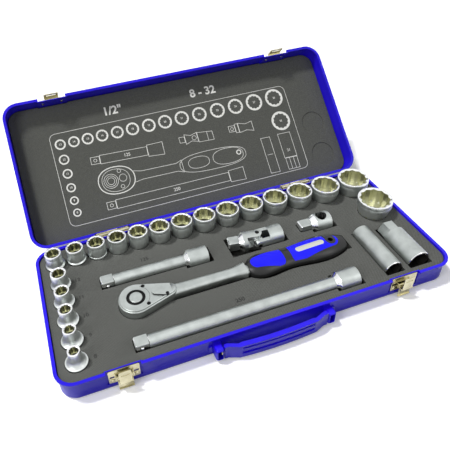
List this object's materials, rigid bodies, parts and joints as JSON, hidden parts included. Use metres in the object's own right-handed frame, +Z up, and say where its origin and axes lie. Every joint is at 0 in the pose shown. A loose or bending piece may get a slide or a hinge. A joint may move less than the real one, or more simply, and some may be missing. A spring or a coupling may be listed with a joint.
{
  "type": "socket wrench set in case",
  "caption": "Half-inch drive socket set with ratchet, extension bars and universal joint, in a hinged sheet-metal case with foam trays, latches and a swinging handle.",
  "frame": {"origin": "centre of the case's underside, on the surface that it stands on", "axes": "+X to the right along the case, +Y from the latches towards the hinges, +Z up"},
  "size_m": [0.442, 0.3551, 0.1597],
  "materials": {
    "blue_paint": "gloss",
    "grey_foam": "matte",
    "chrome_steel": "satin",
    "nickel_steel": "satin",
    "blue_plastic": "satin",
    "black_plastic": "satin",
    "blue_rubber": "matte",
    "black_rubber": "matte"
  },
  "bodies": {
    "case": {"base_tray": "blue_paint", "base_foam": "grey_foam", "hinge_base_leaves": "nickel_steel", "hinge_pins": "nickel_steel", "latch_plates": "nickel_steel", "latch_pins": "nickel_steel", "handle_brackets": "blue_plastic", "handle_pins": "nickel_steel", "base_rivets": "nickel_steel"},
    "lid": {"lid_shell": "blue_paint", "lid_foam": "grey_foam", "hinge_lid_leaves": "nickel_steel", "lid_keepers": "nickel_steel", "lid_rivets": "nickel_steel"},
    "handle": {"carry_handle": "blue_plastic"},
    "latch_lever_left": {"latch_lever_left": "nickel_steel"},
    "latch_claw_left": {"latch_claw_left": "nickel_steel"},
    "latch_lever_right": {"latch_lever_right": "nickel_steel"},
    "latch_claw_right": {"latch_claw_right": "nickel_steel"},
    "socket_8": {"socket_8": "chrome_steel"},
    "socket_9": {"socket_9": "chrome_steel"},
    "socket_10": {"socket_10": "chrome_steel"},
    "socket_11": {"socket_11": "chrome_steel"},
    "socket_12": {"socket_12": "chrome_steel"},
    "socket_13": {"socket_13": "chrome_steel"},
    "socket_14": {"socket_14": "chrome_steel"},
    "socket_15": {"socket_15": "chrome_steel"},
    "socket_16": {"socket_16": "chrome_steel"},
    "socket_17": {"socket_17": "chrome_steel"},
    "socket_18": {"socket_18": "chrome_steel"},
    "socket_19": {"socket_19": "chrome_steel"},
    "socket_20": {"socket_20": "chrome_steel"},
    "socket_21": {"socket_21": "chrome_steel"},
    "socket_22": {"socket_22": "chrome_steel"},
    "socket_23": {"socket_23": "chrome_steel"},
    "socket_24": {"socket_24": "chrome_steel"},
    "socket_27": {"socket_27": "chrome_steel"},
    "socket_30": {"socket_30": "chrome_steel"},
    "socket_32": {"socket_32": "chrome_steel"},
    "extension_bar_long": {"extension_bar_long": "chrome_steel"},
    "extension_bar_short": {"extension_bar_short": "chrome_steel"},
    "sliding_adaptor": {"sliding_adaptor": "chrome_steel"},
    "joint_socket_yoke": {"joint_socket_yoke": "chrome_steel"},
    "joint_cross": {"joint_cross": "chrome_steel", "joint_pins": "chrome_steel"},
    "joint_drive_yoke": {"joint_drive_yoke": "chrome_steel"},
    "plug_socket_small": {"plug_socket_small": "chrome_steel", "plug_ring_small": "black_rubber"},
    "plug_socket_large": {"plug_socket_large": "chrome_steel", "plug_ring_large": "black_rubber"},
    "ratchet": {"ratchet_body": "chrome_steel", "ratchet_cover": "chrome_steel", "ratchet_screws": "chrome_steel", "ratchet_grip": "black_plastic", "ratchet_pads": "blue_rubber", "ratchet_plate": "nickel_steel"},
    "ratchet_gear": {"ratchet_gear": "chrome_steel"},
    "ratchet_button": {"ratchet_button": "chrome_steel"},
    "ratchet_pawl": {"ratchet_pawl": "chrome_steel"},
    "ratchet_lever": {"ratchet_lever": "black_plastic"}
  },
  "joints": [
    {"name": "lid_hinge", "type": "hinge", "parent": "case", "child": "lid", "pos_m": [0, 0.094, 0.02825], "axis": [-1, 0, 0], "range_deg": [-138, 0]},
    {"name": "handle_swing", "type": "hinge", "parent": "case", "child": "handle", "pos_m": [0, -0.0985, 0.0124], "axis": [1, 0, 0], "range_deg": [-40, 40]},
    {"name": "latch_left", "type": "hinge", "parent": "case", "child": "latch_lever_left", "pos_m": [-0.157, -0.0927, 0.0175], "axis": [-1, 0, 0], "range_deg": [0, 100]},
    {"name": "claw_left", "type": "hinge", "parent": "latch_lever_left", "child": "latch_claw_left", "pos_m": [-0.157, -0.0963, 0.0134], "axis": [-1, 0, 0], "range_deg": [-100, 0]},
    {"name": "latch_right", "type": "hinge", "parent": "case", "child": "latch_lever_right", "pos_m": [0.157, -0.0927, 0.0175], "axis": [-1, 0, 0], "range_deg": [0, 100]},
    {"name": "claw_right", "type": "hinge", "parent": "latch_lever_right", "child": "latch_claw_right", "pos_m": [0.157, -0.0963, 0.0134], "axis": [-1, 0, 0], "range_deg": [-100, 0]},
    {"name": "ratchet_drive_spin", "type": "hinge", "parent": "ratchet", "child": "ratchet_gear", "pos_m": [-0.1253, -0.021, 0.035], "axis": [0, 0, 1], "continuous": true},
    {"name": "release_button_press", "type": "slide", "parent": "ratchet_gear", "child": "ratchet_button", "axis": [0, 0, -1], "range_m": [0, 0.0025], "stiffness_N_per_m": 500, "springref_m": -0.001},
    {"name": "reversing_lever_turn", "type": "hinge", "parent": "ratchet", "child": "ratchet_lever", "pos_m": [-0.1033, -0.021, 0.035], "axis": [0, 0, 1], "range_deg": [0, 72]},
    {"name": "pawl_rock", "type": "hinge", "parent": "ratchet", "child": "ratchet_pawl", "pos_m": [-0.1033, -0.021, 0.035], "axis": [0, 0, 1], "range_deg": [0, 10]},
    {"name": "joint_pitch", "type": "hinge", "parent": "joint_socket_yoke", "child": "joint_cross", "pos_m": [0.0325, 0.019, 0.0275], "axis": [0, 1, 0], "range_deg": [0, 35]},
    {"name": "joint_yaw", "type": "hinge", "parent": "joint_cross", "child": "joint_drive_yoke", "pos_m": [0.0325, 0.019, 0.0275], "axis": [0, 0, 1], "range_deg": [0, 14]},
    {"name": "ratchet_lift", "type": "slide", "parent": "case", "child": "ratchet", "axis": [0, 0, 1], "range_m": [0, 0.07]},
    {"name": "extension_bar_long_lift", "type": "slide", "parent": "case", "child": "extension_bar_long", "axis": [0, 0, 1], "range_m": [0, 0.07]},
    {"name": "extension_bar_short_lift", "type": "slide", "parent": "case", "child": "extension_bar_short", "axis": [0, 0, 1], "range_m": [0, 0.07]},
    {"name": "universal_joint_lift", "type": "slide", "parent": "case", "child": "joint_socket_yoke", "axis": [0, 0, 1], "range_m": [0, 0.07]},
    {"name": "sliding_adaptor_lift", "type": "slide", "parent": "case", "child": "sliding_adaptor", "axis": [0, 0, 1], "range_m": [0, 0.07]},
    {"name": "plug_socket_small_lift", "type": "slide", "parent": "case", "child": "plug_socket_small", "axis": [0, 0, 1], "range_m": [0, 0.07]},
    {"name": "plug_socket_large_lift", "type": "slide", "parent": "case", "child": "plug_socket_large", "axis": [0, 0, 1], "range_m": [0, 0.07]},
    {"name": "socket_8_lift", "type": "slide", "parent": "case", "child": "socket_8", "axis": [0, 0, 1], "range_m": [0, 0.07]},
    {"name": "socket_9_lift", "type": "slide", "parent": "case", "child": "socket_9", "axis": [0, 0, 1], "range_m": [0, 0.07]},
    {"name": "socket_10_lift", "type": "slide", "parent": "case", "child": "socket_10", "axis": [0, 0, 1], "range_m": [0, 0.07]},
    {"name": "socket_11_lift", "type": "slide", "parent": "case", "child": "socket_11", "axis": [0, 0, 1], "range_m": [0, 0.07]},
    {"name": "socket_12_lift", "type": "slide", "parent": "case", "child": "socket_12", "axis": [0, 0, 1], "range_m": [0, 0.07]},
    {"name": "socket_13_lift", "type": "slide", "parent": "case", "child": "socket_13", "axis": [0, 0, 1], "range_m": [0, 0.07]},
    {"name": "socket_14_lift", "type": "slide", "parent": "case", "child": "socket_14", "axis": [0, 0, 1], "range_m": [0, 0.07]},
    {"name": "socket_15_lift", "type": "slide", "parent": "case", "child": "socket_15", "axis": [0, 0, 1], "range_m": [0, 0.07]},
    {"name": "socket_16_lift", "type": "slide", "parent": "case", "child": "socket_16", "axis": [0, 0, 1], "range_m": [0, 0.07]},
    {"name": "socket_17_lift", "type": "slide", "parent": "case", "child": "socket_17", "axis": [0, 0, 1], "range_m": [0, 0.07]},
    {"name": "socket_18_lift", "type": "slide", "parent": "case", "child": "socket_18", "axis": [0, 0, 1], "range_m": [0, 0.07]},
    {"name": "socket_19_lift", "type": "slide", "parent": "case", "child": "socket_19", "axis": [0, 0, 1], "range_m": [0, 0.07]},
    {"name": "socket_20_lift", "type": "slide", "parent": "case", "child": "socket_20", "axis": [0, 0, 1], "range_m": [0, 0.07]},
    {"name": "socket_21_lift", "type": "slide", "parent": "case", "child": "socket_21", "axis": [0, 0, 1], "range_m": [0, 0.07]},
    {"name": "socket_22_lift", "type": "slide", "parent": "case", "child": "socket_22", "axis": [0, 0, 1], "range_m": [0, 0.07]},
    {"name": "socket_23_lift", "type": "slide", "parent": "case", "child": "socket_23", "axis": [0, 0, 1], "range_m": [0, 0.07]},
    {"name": "socket_24_lift", "type": "slide", "parent": "case", "child": "socket_24", "axis": [0, 0, 1], "range_m": [0, 0.07]},
    {"name": "socket_27_lift", "type": "slide", "parent": "case", "child": "socket_27", "axis": [0, 0, 1], "range_m": [0, 0.07]},
    {"name": "socket_30_lift", "type": "slide", "parent": "case", "child": "socket_30", "axis": [0, 0, 1], "range_m": [0, 0.07]},
    {"name": "socket_32_lift", "type": "slide", "parent": "case", "child": "socket_32", "axis": [0, 0, 1], "range_m": [0, 0.07]}
  ],
  "couplings": [
    {"joint": "claw_left", "follows": "latch_left", "ratio": -1},
    {"joint": "claw_right", "follows": "latch_right", "ratio": -1},
    {"joint": "pawl_rock", "follows": "reversing_lever_turn", "ratio": 0.13889}
  ]
}
